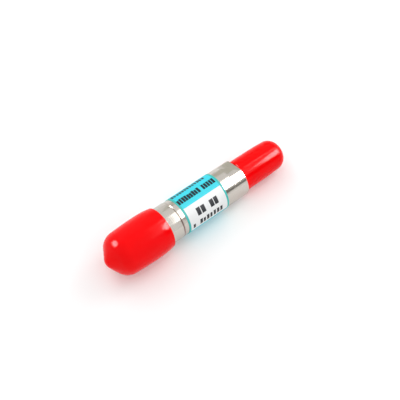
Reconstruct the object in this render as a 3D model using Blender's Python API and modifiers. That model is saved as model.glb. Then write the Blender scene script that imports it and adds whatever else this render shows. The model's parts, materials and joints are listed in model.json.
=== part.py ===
"""Coaxial attenuator with a plug at one end and a jack at the other, both under push-on caps.

All pieces are turned about one axis. They are modelled along the local +Z axis, which runs from
the plug to the jack, with the seam between the two steel bodies at zero. The local +X axis points
up. A parent empty then lays the whole part down on the widest ring of its large cap and on the
lower rim of the body, the way it rests on a table. Lengths are in metres.
"""

import math

import bpy
from mathutils import Matrix

# Clearances
FIT = 0.00005
RUNNING_FIT = 0.00008
FILM_FIT = 0.00001

# Facets round the axis
OUTER_SEGMENTS = 40
INNER_SEGMENTS = 24

# The jack body: a tube with two wrench flats and a threaded barrel
BODY_DIAMETER = 0.0093
BODY_LENGTH = 0.01985
BODY_WALL = 0.00075
CAVITY_STEP = 0.00025
SEAM_CHAMFER = 0.00016
EDGE_CHAMFER = 0.0002
WRENCH_FLAT_DEPTH = 0.00065
WRENCH_FLAT_LENGTH = 0.00365
WRENCH_ROLL = math.radians(-15.0)
THREAD_DIAMETER = 0.00635
THREAD_DEPTH = 0.000355
BARREL_LENGTH = 0.0095
BARREL_CHAMFER = 0.0004
RELIEF_LENGTH = 0.0008
RELIEF_DEPTH = 0.0004
MATING_CLEARANCE = 0.00002
JACK_MOUTH_DEPTH = 0.0019
JACK_BEAD_LENGTH = 0.0060

# The line inside: beads, centre conductors and the air between them
LINE_BORE_DIAMETER = 0.0030
PIN_DIAMETER = 0.00091
PIN_REACH = 0.0023
PIN_TIP_LENGTH = 0.00045
PIN_TIP_DIAMETER = 0.0003
FLANGE_DIAMETER = 0.0019
FLANGE_LENGTH = 0.0005
SOCKET_CLEARANCE = 0.00002
SOCKET_WALL = 0.00016
SOCKET_DEPTH = 0.0029
SOCKET_LEAD_IN = 0.0001
SLOT_WIDTH = 0.00016
SLOT_LENGTH = 0.0026
TAIL_FLAT_LENGTH = 0.0013

# The plug body: a spigot pressed into the jack body, a collar, a neck and the mating shell
SPIGOT_LENGTH = 0.0036
COLLAR_STEP = 0.0001
COLLAR_LENGTH = 0.0043
NECK_CLEARANCE = 0.00007
NECK_LAND = 0.0005
SHELL_WALL = 0.00019
SHELL_CHAMFER = 0.00008
PLUG_BEAD_LENGTH = 0.0062

# The coupling nut, the split ring that holds it and its gasket
NUT_WALL = 0.000825
NUT_LENGTH = 0.0069
NUT_PLAY = 0.00025
NUT_CHAMFER = 0.00045
NUT_REAR_WALL = 0.0008
NUT_LEAD_IN = 0.0004
PLUG_RECESS = 0.0029
RING_THICKNESS = 0.00055
RING_BITE = 0.00022
RING_SPLIT = 0.0016
RING_SQUEEZE = 0.00028
NECK_GROOVE_WALL = 0.00015
GASKET_THICKNESS = 0.00075
GASKET_WIDTH = 0.0004

# The attenuator chip and the split carrier that earths it
CARRIER_LENGTH = 0.0116
CARRIER_WALL = 0.0019
CHIP_LENGTH = 0.0076
GROUND_STRIP_WIDTH = 0.0006
CHIP_THICKNESS = 0.0005
CHIP_END_GAP = 0.00015
FILM_THICKNESS = 0.00003
PAD_LENGTH = 0.0013
PAD_WIDTH = 0.0010
SERIES_FILM_WIDTH = 0.0007
SHUNT_FILM_WIDTH = 0.0009
RIBBON_WIDTH = 0.0007
RIBBON_THICKNESS = 0.00006
RIBBON_LENGTH = 0.0018

# The label wrapped round the body
LABEL_FRONT_MARGIN = 0.0013
LABEL_REAR_MARGIN = 0.00276
LABEL_THICKNESS = 0.00006
LABEL_FIT = 0.00002
LABEL_SEAM_WIDTH = 0.00025
LABEL_SEAM_ANGLE = math.radians(-140.0)

# The large cap, pushed over the nut and the collar
PLUG_CAP_NOSE_REACH = 0.00808
PLUG_CAP_OVERLAP = 0.00092
PLUG_CAP_WIDEST_FROM_MOUTH = 0.00524
PLUG_CAP_WIDEST_WALL = 0.00089
PLUG_CAP_SHOULDER_WALL = 0.000831
PLUG_CAP_MOUTH_WALL = 0.00052
PLUG_CAP_LIP_RADIUS = 0.00022
PLUG_CAP_NOSE_WALL = 0.0011
PLUG_NOSE_ANGLE = math.radians(57.5)
PLUG_NOSE_TIP_RADIUS = 0.0024
PLUG_NOSE_SHOULDER_RADIUS = 0.0039

# The small cap, pushed over the barrel
JACK_CAP_NOSE_REACH = 0.00467
JACK_CAP_STANDOFF = 0.0003
JACK_CAP_SHOULDER_WALL = 0.000605
JACK_CAP_MOUTH_WALL = 0.000815
JACK_CAP_LIP_RADIUS = 0.0002
JACK_CAP_NOSE_WALL = 0.0010
JACK_NOSE_ANGLE = math.radians(61.0)
JACK_NOSE_TIP_RADIUS = 0.0020
JACK_NOSE_SHOULDER_RADIUS = 0.00275

# Stations along the axis, worked out from the sizes above
body_end = BODY_LENGTH
barrel_end = BODY_LENGTH + BARREL_LENGTH
flat_start = BODY_LENGTH - WRENCH_FLAT_LENGTH
jack_plane = barrel_end - JACK_MOUTH_DEPTH
jack_bead_back = jack_plane - JACK_BEAD_LENGTH
carrier_start = SPIGOT_LENGTH + FIT
carrier_end = carrier_start + CARRIER_LENGTH
cavity_end = carrier_end + FIT
chip_start = carrier_start + (CARRIER_LENGTH - CHIP_LENGTH) / 2
chip_end = chip_start + CHIP_LENGTH
chip_middle = (chip_start + chip_end) / 2
collar_front = -FIT - COLLAR_LENGTH
nut_rear = collar_front - NUT_PLAY
nut_front = nut_rear - NUT_LENGTH
ring_rear = nut_rear - NUT_REAR_WALL - FIT
ring_front = ring_rear - RING_THICKNESS
neck_front = ring_front - NECK_LAND
plug_plane = nut_front + PLUG_RECESS
plug_bead_back = plug_plane + PLUG_BEAD_LENGTH
pin_tip = plug_plane - PIN_REACH
plug_cap_mouth = collar_front + PLUG_CAP_OVERLAP
plug_cap_tip = nut_front - PLUG_CAP_NOSE_REACH
plug_cap_widest = plug_cap_mouth - PLUG_CAP_WIDEST_FROM_MOUTH
jack_cap_mouth = body_end + JACK_CAP_STANDOFF
jack_cap_tip = barrel_end + JACK_CAP_NOSE_REACH
label_start = LABEL_FRONT_MARGIN
label_end = flat_start - LABEL_REAR_MARGIN

# Radii that several pieces share, each worked out from what it fits
body_radius = BODY_DIAMETER / 2
spigot_seat_radius = body_radius - BODY_WALL
cavity_radius = spigot_seat_radius - CAVITY_STEP
carrier_radius = cavity_radius - FIT
channel_radius = carrier_radius - CARRIER_WALL
chip_edge = channel_radius + GROUND_STRIP_WIDTH
collar_radius = body_radius + COLLAR_STEP
barrel_radius = THREAD_DIAMETER / 2
nut_thread_radius = barrel_radius - THREAD_DEPTH
nut_corner_radius = (barrel_radius + NUT_WALL) / math.cos(math.pi / 6)
neck_radius = nut_thread_radius - NECK_CLEARANCE
gasket_radius = nut_thread_radius - RUNNING_FIT
shell_radius = gasket_radius - GASKET_WIDTH - FIT
jack_mouth_radius = shell_radius + MATING_CLEARANCE
bead_seat_radius = shell_radius - SHELL_WALL
bead_radius = bead_seat_radius - FIT
nut_bore_radius = neck_radius + RUNNING_FIT
neck_groove_radius = bead_seat_radius + NECK_GROOVE_WALL
ring_outer_radius = nut_bore_radius + RING_BITE
ring_inner_radius = neck_groove_radius + RING_SQUEEZE
socket_bore_radius = PIN_DIAMETER / 2 + SOCKET_CLEARANCE
conductor_radius = socket_bore_radius + SOCKET_WALL
bead_bore_radius = conductor_radius + FIT
plug_cap_grip = collar_radius + FIT
plug_cap_bore = nut_corner_radius + FIT
plug_cap_mouth_radius = plug_cap_grip + PLUG_CAP_MOUTH_WALL
plug_cap_widest_radius = max(plug_cap_grip, plug_cap_bore) + PLUG_CAP_WIDEST_WALL
plug_cap_shoulder_radius = plug_cap_bore + PLUG_CAP_SHOULDER_WALL
jack_cap_bore = barrel_radius + FIT
jack_cap_mouth_radius = jack_cap_bore + JACK_CAP_MOUTH_WALL
jack_cap_shoulder_radius = jack_cap_bore + JACK_CAP_SHOULDER_WALL
flange_radius = FLANGE_DIAMETER / 2
film_top = CHIP_THICKNESS / 2 + FILM_FIT + FILM_THICKNESS
ribbon_bottom = film_top + FILM_FIT


def arc(radius, station, size, start, end, steps):
    """Gives points on an arc; zero degrees points outward and ninety along the axis."""
    points = []
    for i in range(steps + 1):
        angle = math.radians(start + (end - start) * i / steps)
        points.append((radius + size * math.cos(angle), station + size * math.sin(angle)))
    return points


def nose(tip, inward, wall_radius, tip_radius, shoulder_radius, cone_angle):
    """Gives a cap's closed end from the axis out to its wall: tip, cone and shoulder.

    inward is +1 where the wall lies above the tip and -1 where it lies below it.
    """
    lean = math.degrees(cone_angle)
    cone_radius = wall_radius - shoulder_radius + shoulder_radius * math.cos(cone_angle)
    tip_edge = tip_radius * math.cos(cone_angle)
    cone_start = tip_radius * (1.0 - math.sin(cone_angle))
    cone_end = cone_start + (cone_radius - tip_edge) / math.tan(cone_angle)
    shoulder = cone_end + shoulder_radius * math.sin(cone_angle)
    points = arc(0.0, -tip_radius, tip_radius, 90.0, lean, 2)
    points += arc(wall_radius - shoulder_radius, -shoulder, shoulder_radius, lean, 0.0, 4)
    points[0] = (0.0, 0.0)
    return [(radius, tip - inward * height) for radius, height in points]


def bulge(start, end, steps):
    """Gives points along a parabola from a wall's widest point, start, to its end."""
    points = []
    for i in range(1, steps + 1):
        share = i / steps
        radius = start[0] + (end[0] - start[0]) * share ** 2
        points.append((radius, start[1] + (end[1] - start[1]) * share))
    return points


def plug_cap_outside():
    """Gives the large cap's outer side from the edge of its mouth to the tip of its nose."""
    lip = PLUG_CAP_LIP_RADIUS
    lip_point = (plug_cap_mouth_radius, plug_cap_mouth - lip)
    widest = (plug_cap_widest_radius, plug_cap_widest)
    closed_end = nose(plug_cap_tip, 1.0, plug_cap_shoulder_radius, PLUG_NOSE_TIP_RADIUS,
                      PLUG_NOSE_SHOULDER_RADIUS, PLUG_NOSE_ANGLE)
    points = arc(lip_point[0] - lip, lip_point[1], lip, 90.0, 0.0, 2)
    points += list(reversed(bulge(widest, lip_point, 3)[:-1]))
    points += [widest]
    points += bulge(widest, closed_end[-1], 4)[:-1]
    points += list(reversed(closed_end))
    return points


def rest_position():
    """Returns the tilt of the axis, the height of its zero and its place along the table.

    The part lies on one ring of the large cap and on the body's rim where the flats start, so
    the tilt is the steepest line from that rim to any ring of the cap.
    """
    facet = math.cos(math.pi / OUTER_SEGMENTS)
    rim = body_radius * facet
    tilt = max(math.atan2(radius * facet - rim, flat_start - station)
               for radius, station in plug_cap_outside())
    height = flat_start * math.sin(tilt) + rim * math.cos(tilt)
    low_end = (plug_cap_tip + PLUG_NOSE_TIP_RADIUS) * math.cos(tilt) - PLUG_NOSE_TIP_RADIUS
    high_end = (jack_cap_tip - JACK_NOSE_TIP_RADIUS) * math.cos(tilt) + JACK_NOSE_TIP_RADIUS
    return tilt, height, -(low_end + high_end) / 2


# Collections: the pieces go in the first, the solids that cut them in the second
for old in list(bpy.data.objects):
    bpy.data.objects.remove(old, do_unlink=True)

pieces = bpy.data.collections.new("coaxial_attenuator")
cutters = bpy.data.collections.new("cutters")
bpy.context.scene.collection.children.link(pieces)
bpy.context.scene.collection.children.link(cutters)

rest_tilt, axis_height, axis_shift = rest_position()
axis_frame = bpy.data.objects.new("axis_frame", None)
axis_frame.empty_display_size = BODY_DIAMETER
axis_frame.location = (axis_shift, 0.0, axis_height)
axis_frame.rotation_euler = (0.0, -(math.pi / 2 + rest_tilt), math.pi)
pieces.objects.link(axis_frame)


def material(name, colour, roughness, metallic=0.0):
    """Makes a plain material in the piece's own colour."""
    surface = bpy.data.materials.new(name)
    surface.use_nodes = True
    shader = surface.node_tree.nodes["Principled BSDF"]
    shader.inputs["Base Color"].default_value = (*colour, 1.0)
    shader.inputs["Roughness"].default_value = roughness
    shader.inputs["Metallic"].default_value = metallic
    surface.diffuse_color = (*colour, 1.0)
    return surface


def place(name, data, collection, turn=0.0):
    """Adds an object on the part's axis, turned about it."""
    thing = bpy.data.objects.new(name, data)
    thing.rotation_euler = (0.0, 0.0, turn)
    thing.parent = axis_frame
    collection.objects.link(thing)
    return thing


def as_cutter(thing):
    """Hides a solid that only cuts others."""
    thing.hide_render = True
    thing.display_type = "WIRE"
    return thing


def turned(name, outline, segments, surface=None, collection=pieces):
    """Turns an outline of (radius, station) points, which runs down its outer side, round the axis."""
    mesh = bpy.data.meshes.new(name)
    points = [(radius, 0.0, station) for radius, station in outline]
    edges = [(i, i + 1) for i in range(len(points) - 1)]
    if outline[0][0] > 0.0:
        edges.append((len(points) - 1, 0))
    mesh.from_pydata(points, edges, [])
    thing = place(name, mesh, collection, math.pi / segments)
    screw = thing.modifiers.new("turn", "SCREW")
    screw.axis = "Z"
    screw.steps = segments
    screw.render_steps = segments
    screw.use_merge_vertices = True
    screw.merge_threshold = 0.000002
    screw.use_smooth_shade = True
    if surface:
        mesh.materials.append(surface)
    return thing


def block(name, low, high, surface=None, collection=pieces, turn=0.0):
    """Makes a box between two corners, given as (up, sideways, along the axis)."""
    bpy.ops.mesh.primitive_cube_add(size=1.0)
    thing = bpy.context.active_object
    thing.name = name
    thing.data.name = name
    middle = [(a + b) / 2 for a, b in zip(low, high)]
    sizes = [b - a for a, b in zip(low, high)]
    thing.data.transform(Matrix.Translation(middle) @ Matrix.Diagonal((*sizes, 1.0)))
    thing.rotation_euler = (0.0, 0.0, turn)
    thing.parent = axis_frame
    for home in list(thing.users_collection):
        home.objects.unlink(thing)
    collection.objects.link(thing)
    if surface:
        thing.data.materials.append(surface)
    return thing


def plate(name, outline, bottom, thickness, surface):
    """Makes a flat film from an outline of (sideways, along the axis) points."""
    curve = bpy.data.curves.new(name, "CURVE")
    curve.dimensions = "2D"
    curve.fill_mode = "BOTH"
    curve.extrude = thickness / 2
    spline = curve.splines.new("POLY")
    spline.points.add(len(outline) - 1)
    for point, (sideways, along) in zip(spline.points, outline):
        point.co = (along, sideways, 0.0, 1.0)
    spline.use_cyclic_u = True
    thing = place(name, curve, pieces)
    thing.rotation_euler = (0.0, -math.pi / 2, 0.0)
    thing.location = (bottom + thickness / 2, 0.0, 0.0)
    curve.materials.append(surface)
    return thing


def combine(thing, other, operation="DIFFERENCE"):
    """Cuts one solid with another, or keeps what they share."""
    cut = thing.modifiers.new(other.name, "BOOLEAN")
    cut.operation = operation
    cut.solver = "EXACT"
    cut.object = other


# Materials
steel = material("passivated_steel", (0.72, 0.71, 0.68), 0.28, 1.0)
gold = material("gold_plate", (0.95, 0.74, 0.33), 0.22, 1.0)
spring_bronze = material("spring_bronze", (0.78, 0.57, 0.33), 0.35, 1.0)
ptfe = material("white_ptfe", (0.93, 0.93, 0.90), 0.5)
silicone = material("red_silicone", (0.55, 0.12, 0.08), 0.6)
alumina = material("alumina", (0.90, 0.90, 0.86), 0.55)
resistor_ink = material("resistor_ink", (0.07, 0.07, 0.08), 0.6)
silver_ink = material("silver_ink", (0.75, 0.75, 0.74), 0.4, 1.0)
vinyl = material("red_vinyl", (0.86, 0.03, 0.03), 0.3)
label_film = material("label_film", (0.55, 0.85, 0.92), 0.35)


def make_jack_body():
    """The main turned body, with the seat for the plug body at its open end."""
    line = LINE_BORE_DIAMETER / 2
    outline = [
        (jack_mouth_radius, barrel_end),
        (barrel_radius - BARREL_CHAMFER, barrel_end),
        (barrel_radius, barrel_end - BARREL_CHAMFER),
        (barrel_radius, body_end + RELIEF_LENGTH),
        (barrel_radius - RELIEF_DEPTH, body_end + RELIEF_LENGTH - RELIEF_DEPTH),
        (barrel_radius - RELIEF_DEPTH, body_end),
        (body_radius - EDGE_CHAMFER, body_end),
        (body_radius, body_end - EDGE_CHAMFER),
        (body_radius, SEAM_CHAMFER),
        (body_radius - SEAM_CHAMFER, 0.0),
        (spigot_seat_radius, 0.0),
        (spigot_seat_radius, carrier_start),
        (cavity_radius, carrier_start),
        (cavity_radius, cavity_end),
        (line, cavity_end),
        (line, jack_bead_back - FIT),
        (bead_seat_radius, jack_bead_back - FIT),
        (bead_seat_radius, jack_plane),
        (jack_mouth_radius, jack_plane),
    ]
    body = turned("jack_body", outline, OUTER_SEGMENTS, steel)
    for side, name in ((1.0, "upper"), (-1.0, "lower")):
        near = side * (body_radius - WRENCH_FLAT_DEPTH)
        far = side * BODY_DIAMETER
        low = (min(near, far), -BODY_DIAMETER, flat_start)
        high = (max(near, far), BODY_DIAMETER, body_end + FIT)
        mill = as_cutter(block(name + "_flat", low, high, collection=cutters, turn=WRENCH_ROLL))
        combine(body, mill)


def make_plug_body():
    """The turned body that carries the nut, with its spigot inside the jack body."""
    spigot = spigot_seat_radius - FIT
    line = LINE_BORE_DIAMETER / 2
    outline = [
        (line, SPIGOT_LENGTH),
        (spigot - EDGE_CHAMFER, SPIGOT_LENGTH),
        (spigot, SPIGOT_LENGTH - EDGE_CHAMFER),
        (spigot, -FIT),
        (collar_radius - SEAM_CHAMFER, -FIT),
        (collar_radius, -FIT - SEAM_CHAMFER),
        (collar_radius, collar_front + EDGE_CHAMFER),
        (collar_radius - EDGE_CHAMFER, collar_front),
        (neck_radius, collar_front),
        (neck_radius, ring_rear + FIT),
        (neck_groove_radius, ring_rear + FIT),
        (neck_groove_radius, ring_front - FIT),
        (neck_radius, ring_front - FIT),
        (neck_radius, neck_front),
        (shell_radius, neck_front),
        (shell_radius, plug_plane + SHELL_CHAMFER),
        (shell_radius - SHELL_CHAMFER, plug_plane),
        (bead_seat_radius, plug_plane),
        (bead_seat_radius, plug_bead_back + FIT),
        (line, plug_bead_back + FIT),
    ]
    turned("plug_body", outline, OUTER_SEGMENTS, steel)


def make_coupling_nut():
    """The hexagon nut: a chamfered blank, milled to six flats and bored."""
    corner = nut_corner_radius
    groove = ring_outer_radius + RUNNING_FIT
    thread = nut_thread_radius
    blank = [
        (0.0, nut_rear),
        (corner - NUT_CHAMFER, nut_rear),
        (corner, nut_rear - NUT_CHAMFER * math.tan(math.pi / 6)),
        (corner, nut_front + NUT_CHAMFER * math.tan(math.pi / 6)),
        (corner - NUT_CHAMFER, nut_front),
        (0.0, nut_front),
    ]
    lathe = as_cutter(turned("nut_blank", blank, 48, collection=cutters))
    bore = [
        (0.0, nut_rear + NUT_PLAY),
        (nut_bore_radius, nut_rear + NUT_PLAY),
        (nut_bore_radius, ring_rear + FIT),
        (groove, ring_rear + FIT),
        (groove, ring_front - FIT),
        (thread, ring_front - FIT),
        (thread, nut_front + NUT_LEAD_IN),
        (thread + NUT_LEAD_IN, nut_front),
        (thread + NUT_LEAD_IN, nut_front - NUT_PLAY),
        (0.0, nut_front - NUT_PLAY),
    ]
    reamer = as_cutter(turned("nut_bore", bore, OUTER_SEGMENTS, collection=cutters))
    bpy.ops.mesh.primitive_cylinder_add(
        vertices=6, radius=nut_corner_radius, depth=NUT_LENGTH, end_fill_type="NGON")
    nut = bpy.context.active_object
    nut.name = "coupling_nut"
    nut.data.name = "coupling_nut"
    nut.data.transform(Matrix.Translation((0.0, 0.0, (nut_rear + nut_front) / 2)))
    nut.parent = axis_frame
    for home in list(nut.users_collection):
        home.objects.unlink(nut)
    pieces.objects.link(nut)
    nut.data.materials.append(steel)
    combine(nut, lathe, "INTERSECT")
    combine(nut, reamer)


def make_nut_hardware():
    """The split spring ring between nut and neck, and the gasket round the shell."""
    ring = [
        (ring_inner_radius, ring_rear),
        (ring_outer_radius, ring_rear),
        (ring_outer_radius, ring_front),
        (ring_inner_radius, ring_front),
    ]
    split_ring = turned("retaining_ring", ring, 32, spring_bronze)
    low = (0.0, -RING_SPLIT / 2, ring_front - FIT)
    high = (BODY_DIAMETER, RING_SPLIT / 2, ring_rear + FIT)
    combine(split_ring, as_cutter(block("ring_split", low, high, collection=cutters)))
    seat = neck_front - FIT
    gasket = [
        (gasket_radius - GASKET_WIDTH, seat),
        (gasket_radius, seat),
        (gasket_radius, seat - GASKET_THICKNESS),
        (gasket_radius - GASKET_WIDTH, seat - GASKET_THICKNESS),
    ]
    turned("gasket", gasket, 32, silicone)


def make_beads():
    """The two insulating beads, each with a counterbore for its conductor's flange."""
    seat = flange_radius + FIT
    plug_bead = [
        (seat, plug_bead_back),
        (bead_radius, plug_bead_back),
        (bead_radius, plug_plane),
        (bead_bore_radius, plug_plane),
        (bead_bore_radius, plug_bead_back - FLANGE_LENGTH - FIT),
        (seat, plug_bead_back - FLANGE_LENGTH - FIT),
    ]
    turned("plug_bead", plug_bead, INNER_SEGMENTS, ptfe)
    jack_bead = [
        (bead_bore_radius, jack_plane),
        (bead_radius, jack_plane),
        (bead_radius, jack_bead_back),
        (seat, jack_bead_back),
        (seat, jack_bead_back + FLANGE_LENGTH + FIT),
        (bead_bore_radius, jack_bead_back + FLANGE_LENGTH + FIT),
    ]
    turned("jack_bead", jack_bead, INNER_SEGMENTS, ptfe)


def make_conductors():
    """The plug's pin and the jack's slotted socket, each with a flat on its tail for the ribbon."""
    pin_end = chip_start - CHIP_END_GAP
    pin = [
        (0.0, pin_end),
        (conductor_radius, pin_end),
        (conductor_radius, plug_bead_back),
        (flange_radius, plug_bead_back),
        (flange_radius, plug_bead_back - FLANGE_LENGTH),
        (conductor_radius, plug_bead_back - FLANGE_LENGTH),
        (conductor_radius, plug_plane),
        (PIN_DIAMETER / 2, plug_plane),
        (PIN_DIAMETER / 2, pin_tip + PIN_TIP_LENGTH),
        (PIN_TIP_DIAMETER / 2, pin_tip),
        (0.0, pin_tip),
    ]
    center_pin = turned("center_pin", pin, INNER_SEGMENTS, gold)
    low = (film_top, -conductor_radius * 2, pin_end - TAIL_FLAT_LENGTH)
    high = (conductor_radius * 2, conductor_radius * 2, pin_end + CHIP_END_GAP)
    combine(center_pin, as_cutter(block("pin_flat", low, high, collection=cutters)))

    socket_end = chip_end + CHIP_END_GAP
    bore = socket_bore_radius
    socket = [
        (0.0, jack_plane - SOCKET_DEPTH - bore),
        (bore, jack_plane - SOCKET_DEPTH),
        (bore, jack_plane - SOCKET_LEAD_IN),
        (bore + SOCKET_LEAD_IN, jack_plane),
        (conductor_radius, jack_plane),
        (conductor_radius, jack_bead_back + FLANGE_LENGTH),
        (flange_radius, jack_bead_back + FLANGE_LENGTH),
        (flange_radius, jack_bead_back),
        (conductor_radius, jack_bead_back),
        (conductor_radius, socket_end),
        (0.0, socket_end),
    ]
    center_socket = turned("center_socket", socket, INNER_SEGMENTS, gold)
    for turn, name in ((0.0, "slot_across"), (math.pi / 2, "slot_up")):
        low = (-conductor_radius * 2, -SLOT_WIDTH / 2, jack_plane - SLOT_LENGTH)
        high = (conductor_radius * 2, SLOT_WIDTH / 2, jack_plane + FIT)
        slot = as_cutter(block(name, low, high, collection=cutters, turn=turn))
        combine(center_socket, slot)
    low = (film_top, -conductor_radius * 2, socket_end - CHIP_END_GAP)
    high = (conductor_radius * 2, conductor_radius * 2, socket_end + TAIL_FLAT_LENGTH)
    combine(center_socket, as_cutter(block("socket_flat", low, high, collection=cutters)))


def make_carrier():
    """The two halves of the carrier, which clamp the chip's earthed edges."""
    sleeve = [
        (channel_radius, carrier_end),
        (carrier_radius, carrier_end),
        (carrier_radius, carrier_start),
        (channel_radius, carrier_start),
    ]
    split = film_top + FIT
    margin = BODY_DIAMETER
    upper = turned("carrier_upper", sleeve, 32, gold)
    low = (-margin, -margin, carrier_start - FIT)
    high = (split, margin, carrier_end + FIT)
    combine(upper, as_cutter(block("below_split", low, high, collection=cutters)))
    lower = turned("carrier_lower", sleeve, 32, gold)
    low = (split - FIT, -margin, carrier_start - FIT)
    high = (margin, margin, carrier_end + FIT)
    combine(lower, as_cutter(block("above_split", low, high, collection=cutters)))
    low = (-CHIP_THICKNESS / 2 - FIT, -chip_edge - FIT, chip_start - FIT)
    high = (margin, chip_edge + FIT, chip_end + FIT)
    combine(lower, as_cutter(block("chip_pocket", low, high, collection=cutters)))


def make_chip():
    """The ceramic chip with its printed films: two pads, two earth strips and the resistor."""
    half = CHIP_THICKNESS / 2
    low = (-half, -chip_edge, chip_start)
    high = (half, chip_edge, chip_end)
    block("chip", low, high, alumina)
    bottom = half + FILM_FIT
    strip = channel_radius
    pad = PAD_WIDTH / 2

    def film(name, corners, surface):
        plate(name, corners, bottom, FILM_THICKNESS, surface)

    def rectangle(side_low, side_high, along_low, along_high):
        return [
            (side_low, along_low),
            (side_high, along_low),
            (side_high, along_high),
            (side_low, along_high),
        ]

    film("input_pad", rectangle(-pad, pad, chip_start, chip_start + PAD_LENGTH), silver_ink)
    film("output_pad", rectangle(-pad, pad, chip_end - PAD_LENGTH, chip_end), silver_ink)
    film("ground_strip_near", rectangle(strip, chip_edge, chip_start, chip_end), silver_ink)
    film("ground_strip_far", rectangle(-chip_edge, -strip, chip_start, chip_end), silver_ink)

    series = SERIES_FILM_WIDTH / 2
    shunt = SHUNT_FILM_WIDTH / 2
    reach = strip - FILM_FIT
    first = chip_start + PAD_LENGTH + FILM_FIT
    last = chip_end - PAD_LENGTH - FILM_FIT
    cross = [
        (-series, first),
        (series, first),
        (series, chip_middle - shunt),
        (reach, chip_middle - shunt),
        (reach, chip_middle + shunt),
        (series, chip_middle + shunt),
        (series, last),
        (-series, last),
        (-series, chip_middle + shunt),
        (-reach, chip_middle + shunt),
        (-reach, chip_middle - shunt),
        (-series, chip_middle - shunt),
    ]
    film("resistor_film", cross, resistor_ink)


def make_ribbons():
    """The gold ribbons that bridge from each conductor's flat to its pad."""
    half = RIBBON_WIDTH / 2
    reach = RIBBON_LENGTH / 2
    top = ribbon_bottom + RIBBON_THICKNESS
    for name, end in (("input_ribbon", chip_start), ("output_ribbon", chip_end)):
        low = (ribbon_bottom, -half, end - reach)
        high = (top, half, end + reach)
        block(name, low, high, gold)


def make_label():
    """The label: a film wrapped once round the body, its two edges nearly meeting."""
    inner = body_radius + LABEL_FIT
    outer = inner + LABEL_THICKNESS
    wrap = [
        (inner, label_end),
        (outer, label_end),
        (outer, label_start),
        (inner, label_start),
    ]
    label = turned("label", wrap, OUTER_SEGMENTS, label_film)
    low = (0.0, -LABEL_SEAM_WIDTH / 2, label_start - FIT)
    high = (BODY_DIAMETER, LABEL_SEAM_WIDTH / 2, label_end + FIT)
    seam = block("label_seam", low, high, collection=cutters, turn=LABEL_SEAM_ANGLE)
    combine(label, as_cutter(seam))


def make_plug_cap():
    """The large moulded cap: pointed nose, bulged wall and a rounded lip that thins to its edge."""
    wall = PLUG_CAP_SHOULDER_WALL
    inner_nose = nose(plug_cap_tip + PLUG_CAP_NOSE_WALL, 1.0, plug_cap_bore,
                      PLUG_NOSE_TIP_RADIUS - wall, PLUG_NOSE_SHOULDER_RADIUS - wall,
                      PLUG_NOSE_ANGLE)
    outline = list(inner_nose)
    outline += [
        (plug_cap_bore, collar_front - NUT_PLAY),
        (plug_cap_grip, collar_front),
        (plug_cap_grip, plug_cap_mouth),
    ]
    outline += plug_cap_outside()
    turned("plug_cap", outline, OUTER_SEGMENTS, vinyl)


def make_jack_cap():
    """The small moulded cap over the threaded barrel."""
    lip = JACK_CAP_LIP_RADIUS
    lip_point = (jack_cap_mouth_radius, jack_cap_mouth + lip)
    wall = JACK_CAP_SHOULDER_WALL
    outer_nose = nose(jack_cap_tip, -1.0, jack_cap_shoulder_radius, JACK_NOSE_TIP_RADIUS,
                      JACK_NOSE_SHOULDER_RADIUS, JACK_NOSE_ANGLE)
    inner_nose = nose(jack_cap_tip - JACK_CAP_NOSE_WALL, -1.0, jack_cap_bore,
                      JACK_NOSE_TIP_RADIUS - wall, JACK_NOSE_SHOULDER_RADIUS - wall,
                      JACK_NOSE_ANGLE)
    outline = list(outer_nose)
    outline += list(reversed(bulge(lip_point, outer_nose[-1], 3)[:-1]))
    outline += arc(lip_point[0] - lip, lip_point[1], lip, 0.0, -90.0, 2)
    outline += [(jack_cap_bore, jack_cap_mouth)]
    outline += list(reversed(inner_nose))
    turned("jack_cap", outline, OUTER_SEGMENTS, vinyl)


def shade_by_angle():
    """Fixes each piece's final mesh and shades it smooth, with its real edges kept sharp."""
    bpy.context.view_layer.update()
    graph = bpy.context.evaluated_depsgraph_get()
    finished = {}
    for piece in pieces.objects:
        if piece.type == "MESH":
            finished[piece] = bpy.data.meshes.new_from_object(piece.evaluated_get(graph))
    for piece, mesh in finished.items():
        mesh.name = piece.name
        mesh.shade_smooth()
        mesh.set_sharp_from_angle(angle=math.radians(30.0))
        piece.modifiers.clear()
        piece.data = mesh


make_jack_body()
make_plug_body()
make_coupling_nut()
make_nut_hardware()
make_beads()
make_conductors()
make_carrier()
make_chip()
make_ribbons()
make_label()
make_plug_cap()
make_jack_cap()
shade_by_angle()
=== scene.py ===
"""Looks of a coaxial attenuator that lies on a pale table with its two push-on caps in place."""

import json
import math

import bpy
from mathutils import Matrix, Vector

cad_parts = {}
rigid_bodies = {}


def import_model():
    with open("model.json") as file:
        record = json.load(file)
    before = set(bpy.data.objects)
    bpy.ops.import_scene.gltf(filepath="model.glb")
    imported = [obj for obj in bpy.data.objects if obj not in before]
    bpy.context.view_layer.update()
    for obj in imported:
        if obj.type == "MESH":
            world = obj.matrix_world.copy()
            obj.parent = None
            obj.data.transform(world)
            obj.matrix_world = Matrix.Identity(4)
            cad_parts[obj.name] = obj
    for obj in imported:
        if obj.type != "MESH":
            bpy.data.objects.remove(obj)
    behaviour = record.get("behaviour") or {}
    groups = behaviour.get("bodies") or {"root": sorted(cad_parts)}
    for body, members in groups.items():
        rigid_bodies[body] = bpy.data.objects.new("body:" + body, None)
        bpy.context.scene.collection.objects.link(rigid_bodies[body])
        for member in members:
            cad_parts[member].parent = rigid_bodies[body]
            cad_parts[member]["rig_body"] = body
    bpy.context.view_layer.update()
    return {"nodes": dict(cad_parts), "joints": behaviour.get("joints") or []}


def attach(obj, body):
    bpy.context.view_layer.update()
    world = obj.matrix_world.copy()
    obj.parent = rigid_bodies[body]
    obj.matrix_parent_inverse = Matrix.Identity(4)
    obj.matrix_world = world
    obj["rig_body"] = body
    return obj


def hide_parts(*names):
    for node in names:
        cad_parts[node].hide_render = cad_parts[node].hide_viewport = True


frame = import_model()

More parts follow.
